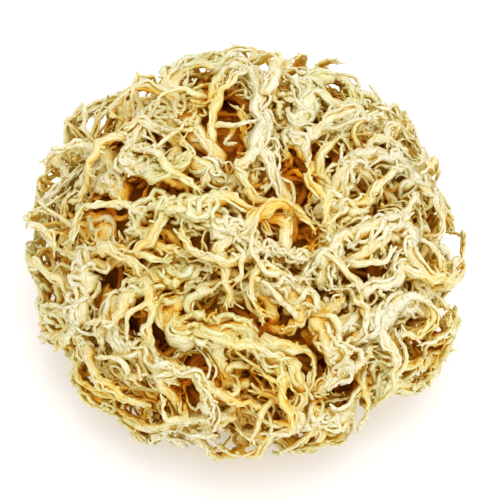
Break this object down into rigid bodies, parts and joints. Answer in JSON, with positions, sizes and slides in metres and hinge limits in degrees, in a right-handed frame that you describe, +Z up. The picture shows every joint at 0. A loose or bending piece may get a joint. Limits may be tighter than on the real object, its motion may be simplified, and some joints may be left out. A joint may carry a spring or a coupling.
{
  "type": "dried elkhorn sea moss clump",
  "caption": "Round tangled clump of dried elkhorn sea moss: gnarled cream fronds with forked, curling branchlets over a matted heart, lying on a table.",
  "frame": {"origin": "on the plane that the clump lies on, under the middle of its box", "axes": "+Z up, +X to the right in the picture, +Y away from the viewer"},
  "size_m": [0.1611, 0.1642, 0.0931],
  "materials": {
    "pale_frond": "dry, matt, ridged, with pale salt",
    "golden_frond": "dry, slightly waxy, golden",
    "matted_frond": "dry, matt, dark in the gaps"
  },
  "bodies": {
    "root": {"frond_crest": "pale_frond", "frond_left_arch": "golden_frond", "frond_middle": "pale_frond", "frond_right_hook": "pale_frond", "frond_right_fan": "pale_frond", "frond_top_loop": "pale_frond", "frond_right_shoulder": "golden_frond", "frond_right_low": "pale_frond", "frond_right_rim": "pale_frond", "frond_front": "pale_frond", "frond_ring": "pale_frond", "frond_left": "pale_frond", "frond_left_inner": "pale_frond", "frond_lower_middle": "golden_frond", "frond_left_top": "pale_frond", "frond_left_foot": "pale_frond", "frond_right_foot": "pale_frond", "frond_back_left": "pale_frond", "frond_back": "golden_frond", "frond_back_right": "pale_frond", "frond_back_far_right": "pale_frond", "frond_under_front": "golden_frond", "frond_under_left": "golden_frond", "frond_under_right": "golden_frond", "matted_heart": "matted_frond"}
  },
  "joints": []
}
